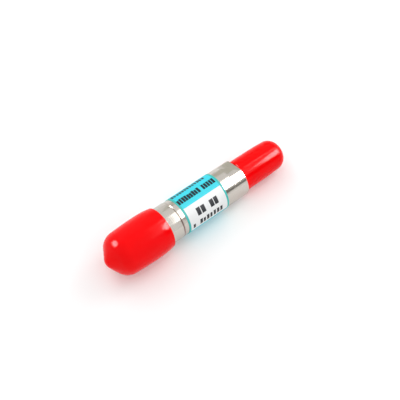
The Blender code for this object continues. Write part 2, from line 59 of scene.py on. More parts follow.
# The axis: every piece is turned about it. Pieces are modelled standing upright, with the seam
# between the two steel bodies at zero and the jack end at the top, then laid down along it.
nut_spin = next(joint for joint in frame["joints"] if joint["name"] == "nut_spin")
axis = Vector(nut_spin["axis"]).normalized()
on_axis = Vector(nut_spin["pos_m"])
seam = min((v.co - on_axis).dot(axis) for v in frame["nodes"]["jack_body"].data.vertices)
up = Vector((-axis.z, 0.0, axis.x))
sideways = Vector((0.0, -1.0, 0.0))
lay_down = Matrix.Translation(on_axis + axis * seam)
lay_down @= Matrix((up, sideways, axis)).transposed().to_4x4()

# The camera: a long lens that looks down from above the large cap. It was placed on the outline
# of the photograph, round a point of the axis in the nut.
VIEW_AZIMUTH = math.radians(-40.06)
VIEW_ELEVATION = math.radians(55.91)
VIEW_DISTANCE = 0.2664
VIEW_RIGHT = 0.01127
VIEW_UP = 0.00794
VIEW_STATION = -0.00637
LENS = 103.3
SENSOR_WIDTH = 36.0
NEAREST_SEEN = 0.01
FARTHEST_SEEN = 5.0

back = Vector((
    math.sin(VIEW_AZIMUTH) * math.cos(VIEW_ELEVATION),
    -math.cos(VIEW_AZIMUTH) * math.cos(VIEW_ELEVATION),
    math.sin(VIEW_ELEVATION)))
right = Vector((math.cos(VIEW_AZIMUTH), math.sin(VIEW_AZIMUTH), 0.0))
aim = lay_down @ Vector((0.0, 0.0, VIEW_STATION))
aim += right * VIEW_RIGHT + back.cross(right) * VIEW_UP
bpy.ops.object.camera_add(location=aim + back * VIEW_DISTANCE)
camera = bpy.context.object
camera.rotation_mode = "QUATERNION"
camera.rotation_quaternion = (-back).to_track_quat("-Z", "Y")
camera.data.lens = LENS
camera.data.sensor_width = SENSOR_WIDTH
camera.data.clip_start = NEAREST_SEEN
camera.data.clip_end = FARTHEST_SEEN
bpy.context.scene.camera = camera
bpy.context.scene.view_settings.view_transform = "Standard"

# The table: a large sheet of pale matt card that the part lies on. To the camera and in the metal
# it is lifted towards white, far off the most, and it keeps the object's soft shadow.
TABLE_SIZE = 4.0
TABLE_DROP = 0.00002
TABLE_COLOUR = (0.80, 0.80, 0.80, 1.0)
TABLE_SHOWN = (0.90, 0.90, 0.90, 1.0)
TABLE_LIFT = 0.08
FAR_LIFT = 0.16
FAR_START = 0.07
FAR_END = 0.55


class Value:
    """A number, colour or vector that varies over a surface; arithmetic on numbers adds nodes."""

    def __init__(self, finish, socket):
        self.finish = finish
        self.socket = socket

    def output(self, name):
        """Gives another output of the same node."""
        return Value(self.finish, self.socket.node.outputs[name])

    def math(self, operation, *values):
        """Adds a Math node on these values."""
        return self.finish.node("ShaderNodeMath", {"operation": operation}, dict(enumerate(values)))

    def __add__(self, other):
        return self.math("ADD", self, other)

    def __radd__(self, other):
        return self.math("ADD", other, self)

    def __sub__(self, other):
        return self.math("SUBTRACT", self, other)

    def __rsub__(self, other):
        return self.math("SUBTRACT", other, self)

    def __mul__(self, other):
        return self.math("MULTIPLY", self, other)

    def __rmul__(self, other):
        return self.math("MULTIPLY", other, self)

    def floor(self):
        """The whole part of the number."""
        return self.math("FLOOR", self)

    def part(self):
        """What is left of the number after its whole part."""
        return self.math("FRACT", self)

    def most(self, other):
        """The larger of two numbers."""
        return self.math("MAXIMUM", self, other)

    def rises(self, low, high):
        """Goes smoothly from 0 at low to 1 at high."""
        return self.finish.node("ShaderNodeMapRange", {"interpolation_type": "SMOOTHSTEP"},
                                {"Value": self, "From Min": low, "From Max": high})

    def within(self, low, high, edge):
        """Is 1 between low and high and 0 outside them, with soft edges."""
        return self.rises(low - edge, low + edge) * (1.0 - self.rises(high - edge, high + edge))


class Finish:
    """A procedural material, or the room's light, whose nodes are added one at a time."""

    def __init__(self, name, kind=bpy.data.materials, shader="Principled BSDF"):
        self.surface = kind.new(name)
        self.surface.use_nodes = True
        self.tree = self.surface.node_tree
        self.shader = self.tree.nodes[shader]

    def node(self, kind, settings=None, inputs=None, output=0):
        """Adds a node: its settings first, then the values or links of its sockets."""
        made = self.tree.nodes.new(kind)
        for name, setting in (settings or {}).items():
            setattr(made, name, setting)
        for key, value in (inputs or {}).items():
            self.feed(made.inputs[key], value)
        return Value(self, made.outputs[output])

    def feed(self, socket, value):
        """Links a value to a socket, or sets it there."""
        if isinstance(value, Value):
            self.tree.links.new(value.socket, socket)
        else:
            socket.default_value = value

    def set(self, **sockets):
        """Feeds the shader's own sockets; an underscore stands for a space."""
        for name, value in sockets.items():
            self.feed(self.shader.inputs[name.replace("_", " ")], value)

    def mix(self, share, first, second):
        """Mixes two colours."""
        return self.node("ShaderNodeMix", {"data_type": "RGBA"},
                         {0: share, 6: first, 7: second}, output=2)

    def here(self):
        """Gives the point on the surface, in metres."""
        return self.node("ShaderNodeTexCoord").output("Object")

    def on_part(self):
        """Gives the point in the part's own frame: up, sideways and along the axis."""
        return self.node("ShaderNodeMapping", {"vector_type": "TEXTURE"},
                         {"Vector": self.here(), "Location": lay_down.translation,
                          "Rotation": lay_down.to_euler()})

    def split(self, point):
        """Gives the three numbers of a point."""
        parts = self.node("ShaderNodeSeparateXYZ", None, {"Vector": point})
        return parts.output("X"), parts.output("Y"), parts.output("Z")

    def noise(self, point, scale, detail=2.0, stretch=(1.0, 1.0, 1.0)):
        """Adds soft noise, with scale in features per metre."""
        point = self.node("ShaderNodeMapping", None, {"Vector": point, "Scale": stretch})
        return self.node("ShaderNodeTexNoise", None,
                         {"Vector": point, "Scale": scale, "Detail": detail})

    def bump(self, height, strength, distance):
        """Makes a normal from a height in shares of distance."""
        return self.node("ShaderNodeBump", None,
                         {"Height": height, "Strength": strength, "Distance": distance})


bpy.ops.mesh.primitive_plane_add(size=TABLE_SIZE, location=(0.0, 0.0, -TABLE_DROP))
table = bpy.context.object
table.name = "table_top"

matt = Finish("pale_table")
rays = matt.node("ShaderNodeLightPath")
seen = rays.output("Is Camera Ray").most(rays.output("Is Glossy Ray"))
seen = seen.most(rays.output("Is Transmission Ray"))
on_table = matt.here()
distance = matt.node("ShaderNodeVectorMath", {"operation": "LENGTH"}, {0: on_table}, output=1)
far = distance.rises(FAR_START, FAR_END)
grain = matt.noise(on_table, scale=900.0)
matt.set(Base_Color=matt.mix(rays.output("Is Camera Ray"), TABLE_COLOUR, TABLE_SHOWN))
matt.set(Roughness=0.9, Specular_IOR_Level=0.0)
matt.set(Normal=matt.bump(grain, strength=0.05, distance=0.00002))
matt.set(Emission_Color=seen * (far * FAR_LIFT + TABLE_LIFT), Emission_Strength=1.0)
table.data.materials.append(matt.surface)

# The light: an even white room. Two soft boxes, one behind and one past the small cap, light the
# table and the matt colours and give the shadow its side. The other lamps show only in gloss: a
# wide soft box in front with a hot oval and a thin edge, and an oval behind the large cap.
ROOM_LEVEL = 0.89
ROOM_SEEN = 0.90
ROOM_COLOUR = (1.0, 1.0, 1.0, 1.0)

walls = Finish("studio_room", bpy.data.worlds, "Background")
bpy.context.scene.world = walls.surface
rays = walls.node("ShaderNodeLightPath")
shown = rays.output("Is Camera Ray").most(rays.output("Is Transmission Ray"))
level = rays.output("Is Glossy Ray") * (ROOM_SEEN - ROOM_LEVEL) + ROOM_LEVEL
walls.set(Strength=level.most(shown), Color=ROOM_COLOUR)


def lamp(name, azimuth, lean, distance, length, width, radiance, shape="RECTANGLE",
         lights=False):
    """Hangs a lamp that faces the seam, in degrees from straight up.

    Azimuth turns it towards the front and lean tips it towards the small cap. Its length lies
    along the axis. It either lights matt surfaces or shows in gloss.
    """
    azimuth = math.radians(azimuth)
    lean = math.radians(lean)
    way = lay_down.to_3x3() @ Vector((
        math.cos(azimuth) * math.cos(lean), math.sin(azimuth) * math.cos(lean), math.sin(lean)))
    long_side = (axis - way * axis.dot(way)).normalized()
    turned = Matrix((long_side, way.cross(long_side), way)).transposed()
    bpy.ops.object.light_add(type="AREA", location=lay_down.translation + way * distance)
    light = bpy.context.object
    light.name = name
    light.data.shape = shape
    light.data.size = length
    light.data.size_y = width
    light.data.energy = radiance * math.pi * length * width
    light.rotation_mode = "QUATERNION"
    light.rotation_quaternion = turned.to_quaternion()
    light.visible_camera = False
    light.visible_diffuse = lights
    light.visible_glossy = not lights


lamp("rear_soft_box", azimuth=-46.0, lean=0.0, distance=0.60, length=0.40, width=0.40,
     radiance=1.3, lights=True)
lamp("end_soft_box", azimuth=4.0, lean=50.0, distance=0.60, length=0.30, width=0.30,
     radiance=2.7, lights=True)
lamp("soft_box", azimuth=24.7, lean=43.0, distance=0.50, length=0.42, width=0.475,
     radiance=1.6)
lamp("soft_box_middle", azimuth=35.0, lean=47.4, distance=0.49, length=0.300, width=0.28,
     radiance=25.0, shape="ELLIPSE")
lamp("soft_box_edge", azimuth=1.0, lean=51.5, distance=0.49, length=0.42, width=0.05,
     radiance=6.0)
lamp("rear_lamp", azimuth=-49.0, lean=-35.2, distance=0.50, length=0.27, width=0.26,
     radiance=25.0, shape="ELLIPSE")

# The cards: two upright sheets of studio paper beside the small cap, a dark one in front and a
# grey one behind. They show only in gloss, as the darker streaks along the steel.
CARD_FIBRE = 1.2


def hang_card(name, low, high, grey):
    """Hangs an upright card between two corners, in a grey with slightly yellow fibres."""
    bpy.ops.object.select_all(action="DESELECT")
    middle = [(a + b) / 2 for a, b in zip(low, high)]
    bpy.ops.mesh.primitive_plane_add(size=1.0, location=middle, rotation=(math.pi / 2, 0.0, 0.0))
    card = bpy.context.object
    card.name = name
    card.scale = (high[0] - low[0], high[2] - low[2], 1.0)
    paper = Finish(name)
    fibre = paper.noise(paper.here(), scale=40.0)
    pale = grey * CARD_FIBRE
    paper.set(Base_Color=paper.mix(fibre, (grey, grey, grey, 1.0), (pale, pale, grey, 1.0)))
    paper.set(Roughness=0.9, Specular_IOR_Level=0.0)
    card.data.materials.append(paper.surface)
    card.visible_camera = False
    card.visible_diffuse = False
    card.visible_shadow = False


hang_card("dark_card", low=(0.022, -0.060, 0.018), high=(0.095, -0.060, 0.0505), grey=0.10)
hang_card("grey_card", low=(0.018, 0.060, 0.018), high=(0.080, 0.060, 0.070), grey=0.66)

# The jack body: a tube of passivated stainless steel, turned and bored in one chucking, with a
# threaded barrel at the jack end and two flats milled for a spanner.
BODY_RADIUS = 0.00465
BODY_LENGTH = 0.01985
SEAM_CHAMFER = 0.00016
EDGE_ROUND = 0.0002
FLAT_HEIGHT = 0.0040
FLAT_LENGTH = 0.00365
FLAT_ROLL = math.radians(-15.0)
MILL_WIDTH = 2 * BODY_RADIUS
BARREL_RADIUS = 0.003175
BARREL_END = 0.02935
BARREL_CHAMFER = 0.0004
RELIEF_LENGTH = 0.0008
RELIEF_DEPTH = 0.0004
THREAD_PITCH = 0.0254 / 36
THREAD_DEPTH = 0.0004
THREAD_FLAT = 0.12
THREAD_ROWS = 12
JACK_MOUTH_RADIUS = 0.00231
JACK_MOUTH_CHAMFER = 0.00006
JACK_PLANE = 0.02745
BEAD_SEAT_RADIUS = 0.0021
LINE_RADIUS = 0.0015
SPIGOT_SEAT_RADIUS = 0.0039
CAVITY_RADIUS = 0.00365
CAVITY_START = 0.00365
CAVITY_END = 0.0153
JACK_BEAD_BACK = 0.0214
SLACK = 0.00005
SAME_PLACE = 0.0000008
STEEL_DEEP = (0.53, 0.495, 0.45, 1.0)
STEEL_PALE = (0.72, 0.675, 0.615, 1.0)
# Painted shade: the colour below and the numbers after it darken the seam's groove, faintly all
# round and more towards the front, where the gap lies in shade.
SEAM_SHADE_COLOUR = (0.32, 0.22, 0.21, 1.0)
SEAM_SHADE_START = -0.00027
SEAM_SHADE_END = 0.00022
SEAM_SHADE_EDGE = 0.00008
SEAM_SHADE_LEAST = 0.12
SEAM_SHADE_FRONT = 0.55
SEAM_SHADE_FROM_ANGLE = 0.52
SEAM_SHADE_FULL_ANGLE = 0.80


def arc(radius, station, size, start, end, steps=8):
    """Gives points on an arc; zero degrees points outward and ninety along the axis."""
    points = []
    for i in range(steps + 1):
        angle = math.radians(start + (end - start) * i / steps)
        points.append((radius + size * math.cos(angle), station + size * math.sin(angle)))
    return points


def lathe(name, outline, segments=96, angle=math.tau):
    """Draws an outline of (radius, station) points and spins it about the upright axis."""
    bpy.ops.object.select_all(action="DESELECT")
    radius, station = outline[0]
    bpy.ops.mesh.primitive_plane_add(size=0.001, location=(radius, 0.0, station))
    piece = bpy.context.object
    piece.name = name
    piece.data.name = name
    bpy.ops.object.transform_apply(location=True, rotation=False, scale=False)
    bpy.ops.object.mode_set(mode="EDIT")
    bpy.ops.mesh.select_all(action="SELECT")
    bpy.ops.mesh.merge(type="CENTER")
    for (radius, station), (next_radius, next_station) in zip(outline, outline[1:]):
        step = (next_radius - radius, 0.0, next_station - station)
        bpy.ops.mesh.extrude_vertices_move(TRANSFORM_OT_translate={"value": step})
    bpy.ops.mesh.select_all(action="SELECT")
    bpy.ops.mesh.spin(steps=segments, angle=angle, center=(0.0, 0.0, 0.0), axis=(0.0, 0.0, 1.0))
    bpy.ops.mesh.select_all(action="SELECT")
    bpy.ops.mesh.remove_doubles(threshold=SAME_PLACE)
    bpy.ops.mesh.normals_make_consistent(inside=False)
    bpy.ops.object.mode_set(mode="OBJECT")
    return piece


def rows(radius, start, end):
    """Gives the rows of points that a thread is rolled into."""
    count = round(abs(end - start) / THREAD_PITCH * THREAD_ROWS)
    return [(radius, start + (end - start) * i / count) for i in range(count + 1)]


def thread(piece, radius, start, end, depth, outward):
    """Rolls a sixty-degree thread into the rows of a bore or barrel, fading out at its ends."""
    for vertex in piece.data.vertices:
        x, y, z = vertex.co
        here = math.hypot(x, y)
        if abs(here - radius) > SLACK or not start <= z <= end:
            continue
        turn = math.atan2(y, x) / math.tau
        wave = abs(((z / THREAD_PITCH - turn) % 1.0) * 2.0 - 1.0)
        flank = min(max((wave - THREAD_FLAT) / (1.0 - 2 * THREAD_FLAT), 0.0), 1.0)
        fade = min((z - start) / THREAD_PITCH, (end - z) / THREAD_PITCH, 1.0)
        there = here + (-depth if outward else depth) * flank * fade
        vertex.co.x = x * there / here
        vertex.co.y = y * there / here


def box(name, low, high, turn=0.0):
    """Makes a block between two corners, turned about the upright axis."""
    bpy.ops.object.select_all(action="DESELECT")
    middle = [(a + b) / 2 for a, b in zip(low, high)]
    bpy.ops.mesh.primitive_cube_add(size=1.0, location=middle)
    block = bpy.context.object
    block.name = name
    block.scale = [b - a for a, b in zip(low, high)]
    bpy.ops.object.transform_apply(location=True, rotation=True, scale=True)
    block.rotation_euler = (0.0, 0.0, turn)
    bpy.ops.object.transform_apply(location=False, rotation=True, scale=False)
    return block


def cut(piece, tool, operation="DIFFERENCE"):
    """Cuts a piece with a tool, or keeps what they share, and takes the tool away."""
    trim = piece.modifiers.new("cut", "BOOLEAN")
    trim.operation = operation
    trim.solver = "EXACT"
    trim.object = tool
    bpy.ops.object.select_all(action="DESELECT")
    piece.select_set(True)
    bpy.context.view_layer.objects.active = piece
    bpy.ops.object.modifier_apply(modifier=trim.name)
    bpy.data.objects.remove(tool)


def fit(piece, node, finish, smooth=35.0):
    """Lays a piece down in its place, smooths it, and lets it stand for its CAD node."""
    bpy.ops.object.select_all(action="DESELECT")
    piece.select_set(True)
    bpy.context.view_layer.objects.active = piece
    piece.matrix_world = lay_down
    bpy.ops.object.transform_apply(location=True, rotation=True, scale=True)
    bpy.ops.object.shade_smooth_by_angle(angle=math.radians(smooth))
    piece.data.materials.clear()
    piece.data.materials.append(finish.surface)
    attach(piece, frame["nodes"][node]["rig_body"])
    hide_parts(node)


thread_start = BODY_LENGTH + RELIEF_LENGTH
thread_end = BARREL_END - BARREL_CHAMFER
outline = [(JACK_MOUTH_RADIUS, JACK_PLANE)]
outline += [(JACK_MOUTH_RADIUS, BARREL_END - JACK_MOUTH_CHAMFER)]
outline += [(JACK_MOUTH_RADIUS + JACK_MOUTH_CHAMFER, BARREL_END)]
outline += [(BARREL_RADIUS - BARREL_CHAMFER, BARREL_END)]
outline += rows(BARREL_RADIUS, thread_end, thread_start)
outline += [(BARREL_RADIUS - RELIEF_DEPTH, thread_start - RELIEF_DEPTH)]
outline += [(BARREL_RADIUS - RELIEF_DEPTH, BODY_LENGTH)]
outline += arc(BODY_RADIUS - EDGE_ROUND, BODY_LENGTH - EDGE_ROUND, EDGE_ROUND, 90.0, 0.0, steps=6)
outline += [(BODY_RADIUS, SEAM_CHAMFER), (BODY_RADIUS - SEAM_CHAMFER, 0.0)]
outline += [(SPIGOT_SEAT_RADIUS, 0.0), (SPIGOT_SEAT_RADIUS, CAVITY_START)]
outline += [(CAVITY_RADIUS, CAVITY_START), (CAVITY_RADIUS, CAVITY_END)]
outline += [(LINE_RADIUS, CAVITY_END), (LINE_RADIUS, JACK_BEAD_BACK)]
outline += [(BEAD_SEAT_RADIUS, JACK_BEAD_BACK), (BEAD_SEAT_RADIUS, JACK_PLANE)]
outline += [(JACK_MOUTH_RADIUS, JACK_PLANE)]
jack_body = lathe("jack_body_turned", outline, segments=128)
thread(jack_body, BARREL_RADIUS, thread_start, thread_end, THREAD_DEPTH, outward=True)
for way in (1.0, -1.0):
    bottom, top = sorted((way * FLAT_HEIGHT, way * MILL_WIDTH))
    low = (bottom, -MILL_WIDTH, BODY_LENGTH - FLAT_LENGTH)
    high = (top, MILL_WIDTH, BODY_LENGTH + SLACK)
    cut(jack_body, box("mill", low, high, FLAT_ROLL))

steel = Finish("passivated_steel")
point = steel.on_part()
turning = steel.noise(point, scale=260.0, detail=3.0, stretch=(1.0, 1.0, 34.0))
cloud = steel.noise(point, scale=420.0, detail=3.0)
fine = steel.noise(point, scale=5200.0, detail=1.0, stretch=(1.0, 1.0, 6.0))
height, side, station = steel.split(point)
round_axis = side.math("ARCTAN2", side, height)
# Painted shade in the seam: a dark line at the seam's station, faint on top and deeper towards the
# front.
seam_shade = SEAM_SHADE_LEAST + round_axis.rises(SEAM_SHADE_FROM_ANGLE, SEAM_SHADE_FULL_ANGLE) * SEAM_SHADE_FRONT
seam_shade = station.within(SEAM_SHADE_START, SEAM_SHADE_END, SEAM_SHADE_EDGE) * seam_shade
unshaded_steel = steel.mix(turning * 0.45 + cloud * 0.55, STEEL_DEEP, STEEL_PALE)
steel.set(Metallic=1.0, Base_Color=steel.mix(seam_shade, unshaded_steel, SEAM_SHADE_COLOUR))
steel.set(Roughness=0.085 + turning * 0.06 + cloud * 0.07)
steel.set(Normal=steel.bump(turning * 0.75 + fine * 0.25, strength=0.13, distance=0.000012))
fit(jack_body, "jack_body", steel)

# The plug body: turned from the same steel and pressed into the jack body. It has a collar, a
# neck with a groove for the nut's ring, and the thin shell that enters the mating jack.
COLLAR_RADIUS = 0.00475
COLLAR_FRONT = -0.00435
SEAM_FIT = 0.00005
SPIGOT_RADIUS = 0.00385
SPIGOT_END = 0.0036
NECK_RADIUS = 0.00275
NECK_FRONT = -0.0065
RING_REAR = -0.00545
RING_FRONT = -0.0060
GROOVE_RADIUS = 0.00225
SHELL_RADIUS = 0.00229
SHELL_ROUND = 0.00008
PLUG_PLANE = -0.0086
PLUG_BEAD_BACK = -0.0024

outline = [(LINE_RADIUS, SPIGOT_END), (SPIGOT_RADIUS - EDGE_ROUND, SPIGOT_END)]
outline += [(SPIGOT_RADIUS, SPIGOT_END - EDGE_ROUND), (SPIGOT_RADIUS, -SEAM_FIT)]
outline += [(COLLAR_RADIUS - SEAM_CHAMFER, -SEAM_FIT)]
outline += [(COLLAR_RADIUS, -SEAM_FIT - SEAM_CHAMFER)]
outline += arc(COLLAR_RADIUS - EDGE_ROUND, COLLAR_FRONT + EDGE_ROUND, EDGE_ROUND, 0.0, -90.0,
               steps=6)
outline += [(NECK_RADIUS, COLLAR_FRONT), (NECK_RADIUS, RING_REAR + SLACK)]
outline += [(GROOVE_RADIUS, RING_REAR + SLACK), (GROOVE_RADIUS, RING_FRONT - SLACK)]
outline += [(NECK_RADIUS, RING_FRONT - SLACK), (NECK_RADIUS, NECK_FRONT)]
outline += [(SHELL_RADIUS, NECK_FRONT)]
outline += arc(SHELL_RADIUS - SHELL_ROUND, PLUG_PLANE + SHELL_ROUND, SHELL_ROUND, 0.0, -90.0,
               steps=4)
outline += [(BEAD_SEAT_RADIUS, PLUG_PLANE), (BEAD_SEAT_RADIUS, PLUG_BEAD_BACK + SLACK)]
outline += [(LINE_RADIUS, PLUG_BEAD_BACK + SLACK), (LINE_RADIUS, SPIGOT_END)]
plug_body = lathe("plug_body_turned", outline, segments=128)
fit(plug_body, "plug_body", steel)

# The coupling nut: a hexagon of the same steel, chamfered on the lathe, bored for the neck and
# grooved for the ring at its rear, and threaded in front to draw the mating jack in.
NUT_FLAT = 0.0040
NUT_REAR = -0.0046
NUT_FRONT = -0.0115
NUT_CHAMFER = 0.00045
NUT_BORE_RADIUS = 0.00283
NUT_GROOVE_RADIUS = 0.00313
NUT_THREAD_RADIUS = 0.00282
NUT_THREAD_DEPTH = 0.00034
NUT_LEAD_IN = 0.0004
NUT_EDGE_ROUND = 0.00006

corner = NUT_FLAT / math.cos(math.pi / 6)
drop = NUT_CHAMFER * math.tan(math.pi / 6)
bpy.ops.object.select_all(action="DESELECT")
bpy.ops.mesh.primitive_cylinder_add(
    vertices=6, radius=corner, depth=NUT_REAR - NUT_FRONT, end_fill_type="NGON",
    location=(0.0, 0.0, (NUT_REAR + NUT_FRONT) / 2))
nut = bpy.context.object
nut.name = "coupling_nut_turned"
bpy.ops.object.transform_apply(location=True, rotation=False, scale=False)
round_edges = nut.modifiers.new("edges", "BEVEL")
round_edges.width = NUT_EDGE_ROUND
round_edges.segments = 3
bpy.ops.object.modifier_apply(modifier=round_edges.name)
outline = [(0.0, NUT_REAR), (corner - NUT_CHAMFER, NUT_REAR), (corner, NUT_REAR - drop)]
outline += [(corner, NUT_FRONT + drop), (corner - NUT_CHAMFER, NUT_FRONT), (0.0, NUT_FRONT)]
cut(nut, lathe("nut_blank", outline, segments=144), "INTERSECT")

thread_start = NUT_FRONT + NUT_LEAD_IN
thread_end = RING_FRONT - SLACK
outline = [(0.0, NUT_REAR + NUT_CHAMFER), (NUT_BORE_RADIUS, NUT_REAR + NUT_CHAMFER)]
outline += [(NUT_BORE_RADIUS, RING_REAR + SLACK), (NUT_GROOVE_RADIUS, RING_REAR + SLACK)]
outline += [(NUT_GROOVE_RADIUS, thread_end)]
outline += rows(NUT_THREAD_RADIUS, thread_end, thread_start)
outline += [(NUT_THREAD_RADIUS + NUT_LEAD_IN, NUT_FRONT)]
outline += [(NUT_THREAD_RADIUS + NUT_LEAD_IN, NUT_FRONT - NUT_CHAMFER)]
outline += [(0.0, NUT_FRONT - NUT_CHAMFER)]
tap = lathe("nut_tap", outline)
thread(tap, NUT_THREAD_RADIUS, thread_start, thread_end - SLACK, NUT_THREAD_DEPTH, outward=False)
cut(nut, tap)
fit(nut, "coupling_nut", steel, smooth=30.0)

# The retaining ring: rolled spring bronze, split so that it can be sprung on. It lies half in the
# neck's groove and half in the nut's, and keeps the nut on the plug while it turns.
RING_OUTER_RADIUS = 0.00305
RING_INNER_RADIUS = 0.00253
RING_SPLIT = 0.0016
RING_ROUND = 0.00008
BRONZE_DEEP = (0.66, 0.44, 0.24, 1.0)
BRONZE_PALE = (0.84, 0.63, 0.38, 1.0)


def close_split(piece, turn):
    """Closes both ends of a piece that was spun part of the way, and turns it to its place."""
    bpy.ops.object.mode_set(mode="EDIT")
    bpy.ops.mesh.select_all(action="DESELECT")
    bpy.ops.mesh.select_non_manifold(extend=False)
    bpy.ops.mesh.edge_face_add()
    bpy.ops.mesh.select_all(action="SELECT")
    bpy.ops.mesh.normals_make_consistent(inside=False)
    bpy.ops.object.mode_set(mode="OBJECT")
    piece.rotation_euler = (0.0, 0.0, turn)
    bpy.ops.object.transform_apply(location=False, rotation=True, scale=False)


def hoop(inner, outer, rear, front, edge, steps):
    """Gives the closed outline of a ring with rounded edges."""
    points = arc(outer - edge, rear - edge, edge, 90.0, 0.0, steps)
    points += arc(outer - edge, front + edge, edge, 0.0, -90.0, steps)
    points += arc(inner + edge, front + edge, edge, -90.0, -180.0, steps)
    points += arc(inner + edge, rear - edge, edge, 180.0, 90.0, steps)
    return points + [points[0]]


half_split = math.asin(RING_SPLIT / 2 / RING_OUTER_RADIUS)
outline = hoop(RING_INNER_RADIUS, RING_OUTER_RADIUS, RING_REAR, RING_FRONT, RING_ROUND, steps=4)
ring = lathe("retaining_ring_split", outline, angle=math.tau - 2 * half_split)
close_split(ring, half_split)

bronze = Finish("spring_bronze")
rolled = bronze.noise(bronze.on_part(), scale=900.0, detail=3.0, stretch=(1.0, 1.0, 8.0))
bronze.set(Metallic=1.0, Base_Color=bronze.mix(rolled, BRONZE_DEEP, BRONZE_PALE))
bronze.set(Roughness=0.24 + rolled * 0.2)
bronze.set(Normal=bronze.bump(rolled, strength=0.15, distance=0.00001))
fit(ring, "retaining_ring", bronze)

# The gasket: a moulded ring of red silicone rubber that sits in the nut against the neck's front
# face, where the mating jack's rim presses it and keeps damp out.
GASKET_INNER_RADIUS = 0.00234
GASKET_OUTER_RADIUS = 0.00274
GASKET_SEAT = -0.00655
GASKET_THICKNESS = 0.00075
GASKET_ROUND = 0.0001
SILICONE_DEEP = (0.36, 0.05, 0.03, 1.0)
SILICONE_PALE = (0.58, 0.13, 0.08, 1.0)

outline = hoop(GASKET_INNER_RADIUS, GASKET_OUTER_RADIUS, GASKET_SEAT,
               GASKET_SEAT - GASKET_THICKNESS, GASKET_ROUND, steps=5)
gasket = lathe("gasket_moulded", outline)

silicone = Finish("red_silicone")
dusting = silicone.noise(silicone.on_part(), scale=2600.0, detail=4.0)
silicone.set(Base_Color=silicone.mix(dusting, SILICONE_DEEP, SILICONE_PALE))
silicone.set(Roughness=0.5 + dusting * 0.25)
silicone.set(Normal=silicone.bump(dusting, strength=0.2, distance=0.00002))
fit(gasket, "gasket", silicone)

# The two beads: white fluoropolymer, turned, each with a counterbore that traps the flange of its
# conductor. They hold the conductors in the middle of the line.
BEAD_RADIUS = 0.00205
BEAD_BORE_RADIUS = 0.000685
BEAD_EDGE = 0.00005
FLANGE_SEAT_RADIUS = 0.0010
FLANGE_DEPTH = 0.00055
JACK_BEAD_START = 0.02145
PTFE_DEEP = (0.80, 0.80, 0.77, 1.0)
PTFE_PALE = (0.90, 0.90, 0.88, 1.0)

ptfe = Finish("white_fluoropolymer")
skived = ptfe.noise(ptfe.on_part(), scale=700.0, detail=3.0, stretch=(1.0, 1.0, 9.0))
ptfe.set(Base_Color=ptfe.mix(skived, PTFE_DEEP, PTFE_PALE), Roughness=0.42 + skived * 0.15)
ptfe.set(Normal=ptfe.bump(skived, strength=0.12, distance=0.00001))
for name, node, open_face, back_face in (
        ("plug_bead_turned", "plug_bead", PLUG_PLANE, PLUG_BEAD_BACK),
        ("jack_bead_turned", "jack_bead", JACK_PLANE, JACK_BEAD_START)):
    way = 1.0 if back_face > open_face else -1.0
    counterbore = back_face - way * FLANGE_DEPTH
    outline = [(BEAD_BORE_RADIUS, open_face), (BEAD_RADIUS - BEAD_EDGE, open_face)]
    outline += [(BEAD_RADIUS, open_face + way * BEAD_EDGE), (BEAD_RADIUS, back_face)]
    outline += [(FLANGE_SEAT_RADIUS, back_face), (FLANGE_SEAT_RADIUS, counterbore)]
    outline += [(BEAD_BORE_RADIUS, counterbore), (BEAD_BORE_RADIUS, open_face)]
    fit(lathe(name, outline, segments=72), node, ptfe)

# The centre conductors: beryllium copper, plated with gold. The plug's ends in a blunt pin, the
# jack's in a socket whose four slotted fingers grip such a pin, and both have a flat tail.
CONDUCTOR_RADIUS = 0.000635
PIN_RADIUS = 0.000455
PIN_TIP = -0.0109
PIN_POINT_LENGTH = 0.00045
PIN_POINT_RADIUS = 0.00015
PIN_END = 0.0055
FLANGE_RADIUS = 0.00095
FLANGE_LENGTH = 0.0005
TAIL_HEIGHT = 0.00029
TAIL_LENGTH = 0.0013
TAIL_MILL_WIDTH = 2 * CONDUCTOR_RADIUS
SOCKET_END = 0.0134
SOCKET_BORE_RADIUS = 0.000475
SOCKET_DEPTH = 0.0029
SOCKET_LEAD_IN = 0.0001
SLOT_WIDTH = 0.00016
SLOT_LENGTH = 0.0026
GOLD_DEEP = (0.90, 0.62, 0.24, 1.0)
GOLD_PALE = (1.0, 0.77, 0.38, 1.0)

outline = [(0.0, PIN_END), (CONDUCTOR_RADIUS, PIN_END), (CONDUCTOR_RADIUS, PLUG_BEAD_BACK)]
outline += [(FLANGE_RADIUS, PLUG_BEAD_BACK), (FLANGE_RADIUS, PLUG_BEAD_BACK - FLANGE_LENGTH)]
outline += [(CONDUCTOR_RADIUS, PLUG_BEAD_BACK - FLANGE_LENGTH), (CONDUCTOR_RADIUS, PLUG_PLANE)]
outline += [(PIN_RADIUS, PLUG_PLANE), (PIN_RADIUS, PIN_TIP + PIN_POINT_LENGTH)]
outline += arc(0.0, PIN_TIP + PIN_POINT_RADIUS, PIN_POINT_RADIUS, -30.0, -90.0, steps=5)
pin = lathe("center_pin_plated", outline, segments=64)
low = (TAIL_HEIGHT, -TAIL_MILL_WIDTH, PIN_END - TAIL_LENGTH)
high = (TAIL_MILL_WIDTH, TAIL_MILL_WIDTH, PIN_END + SLACK)
cut(pin, box("pin_mill", low, high))

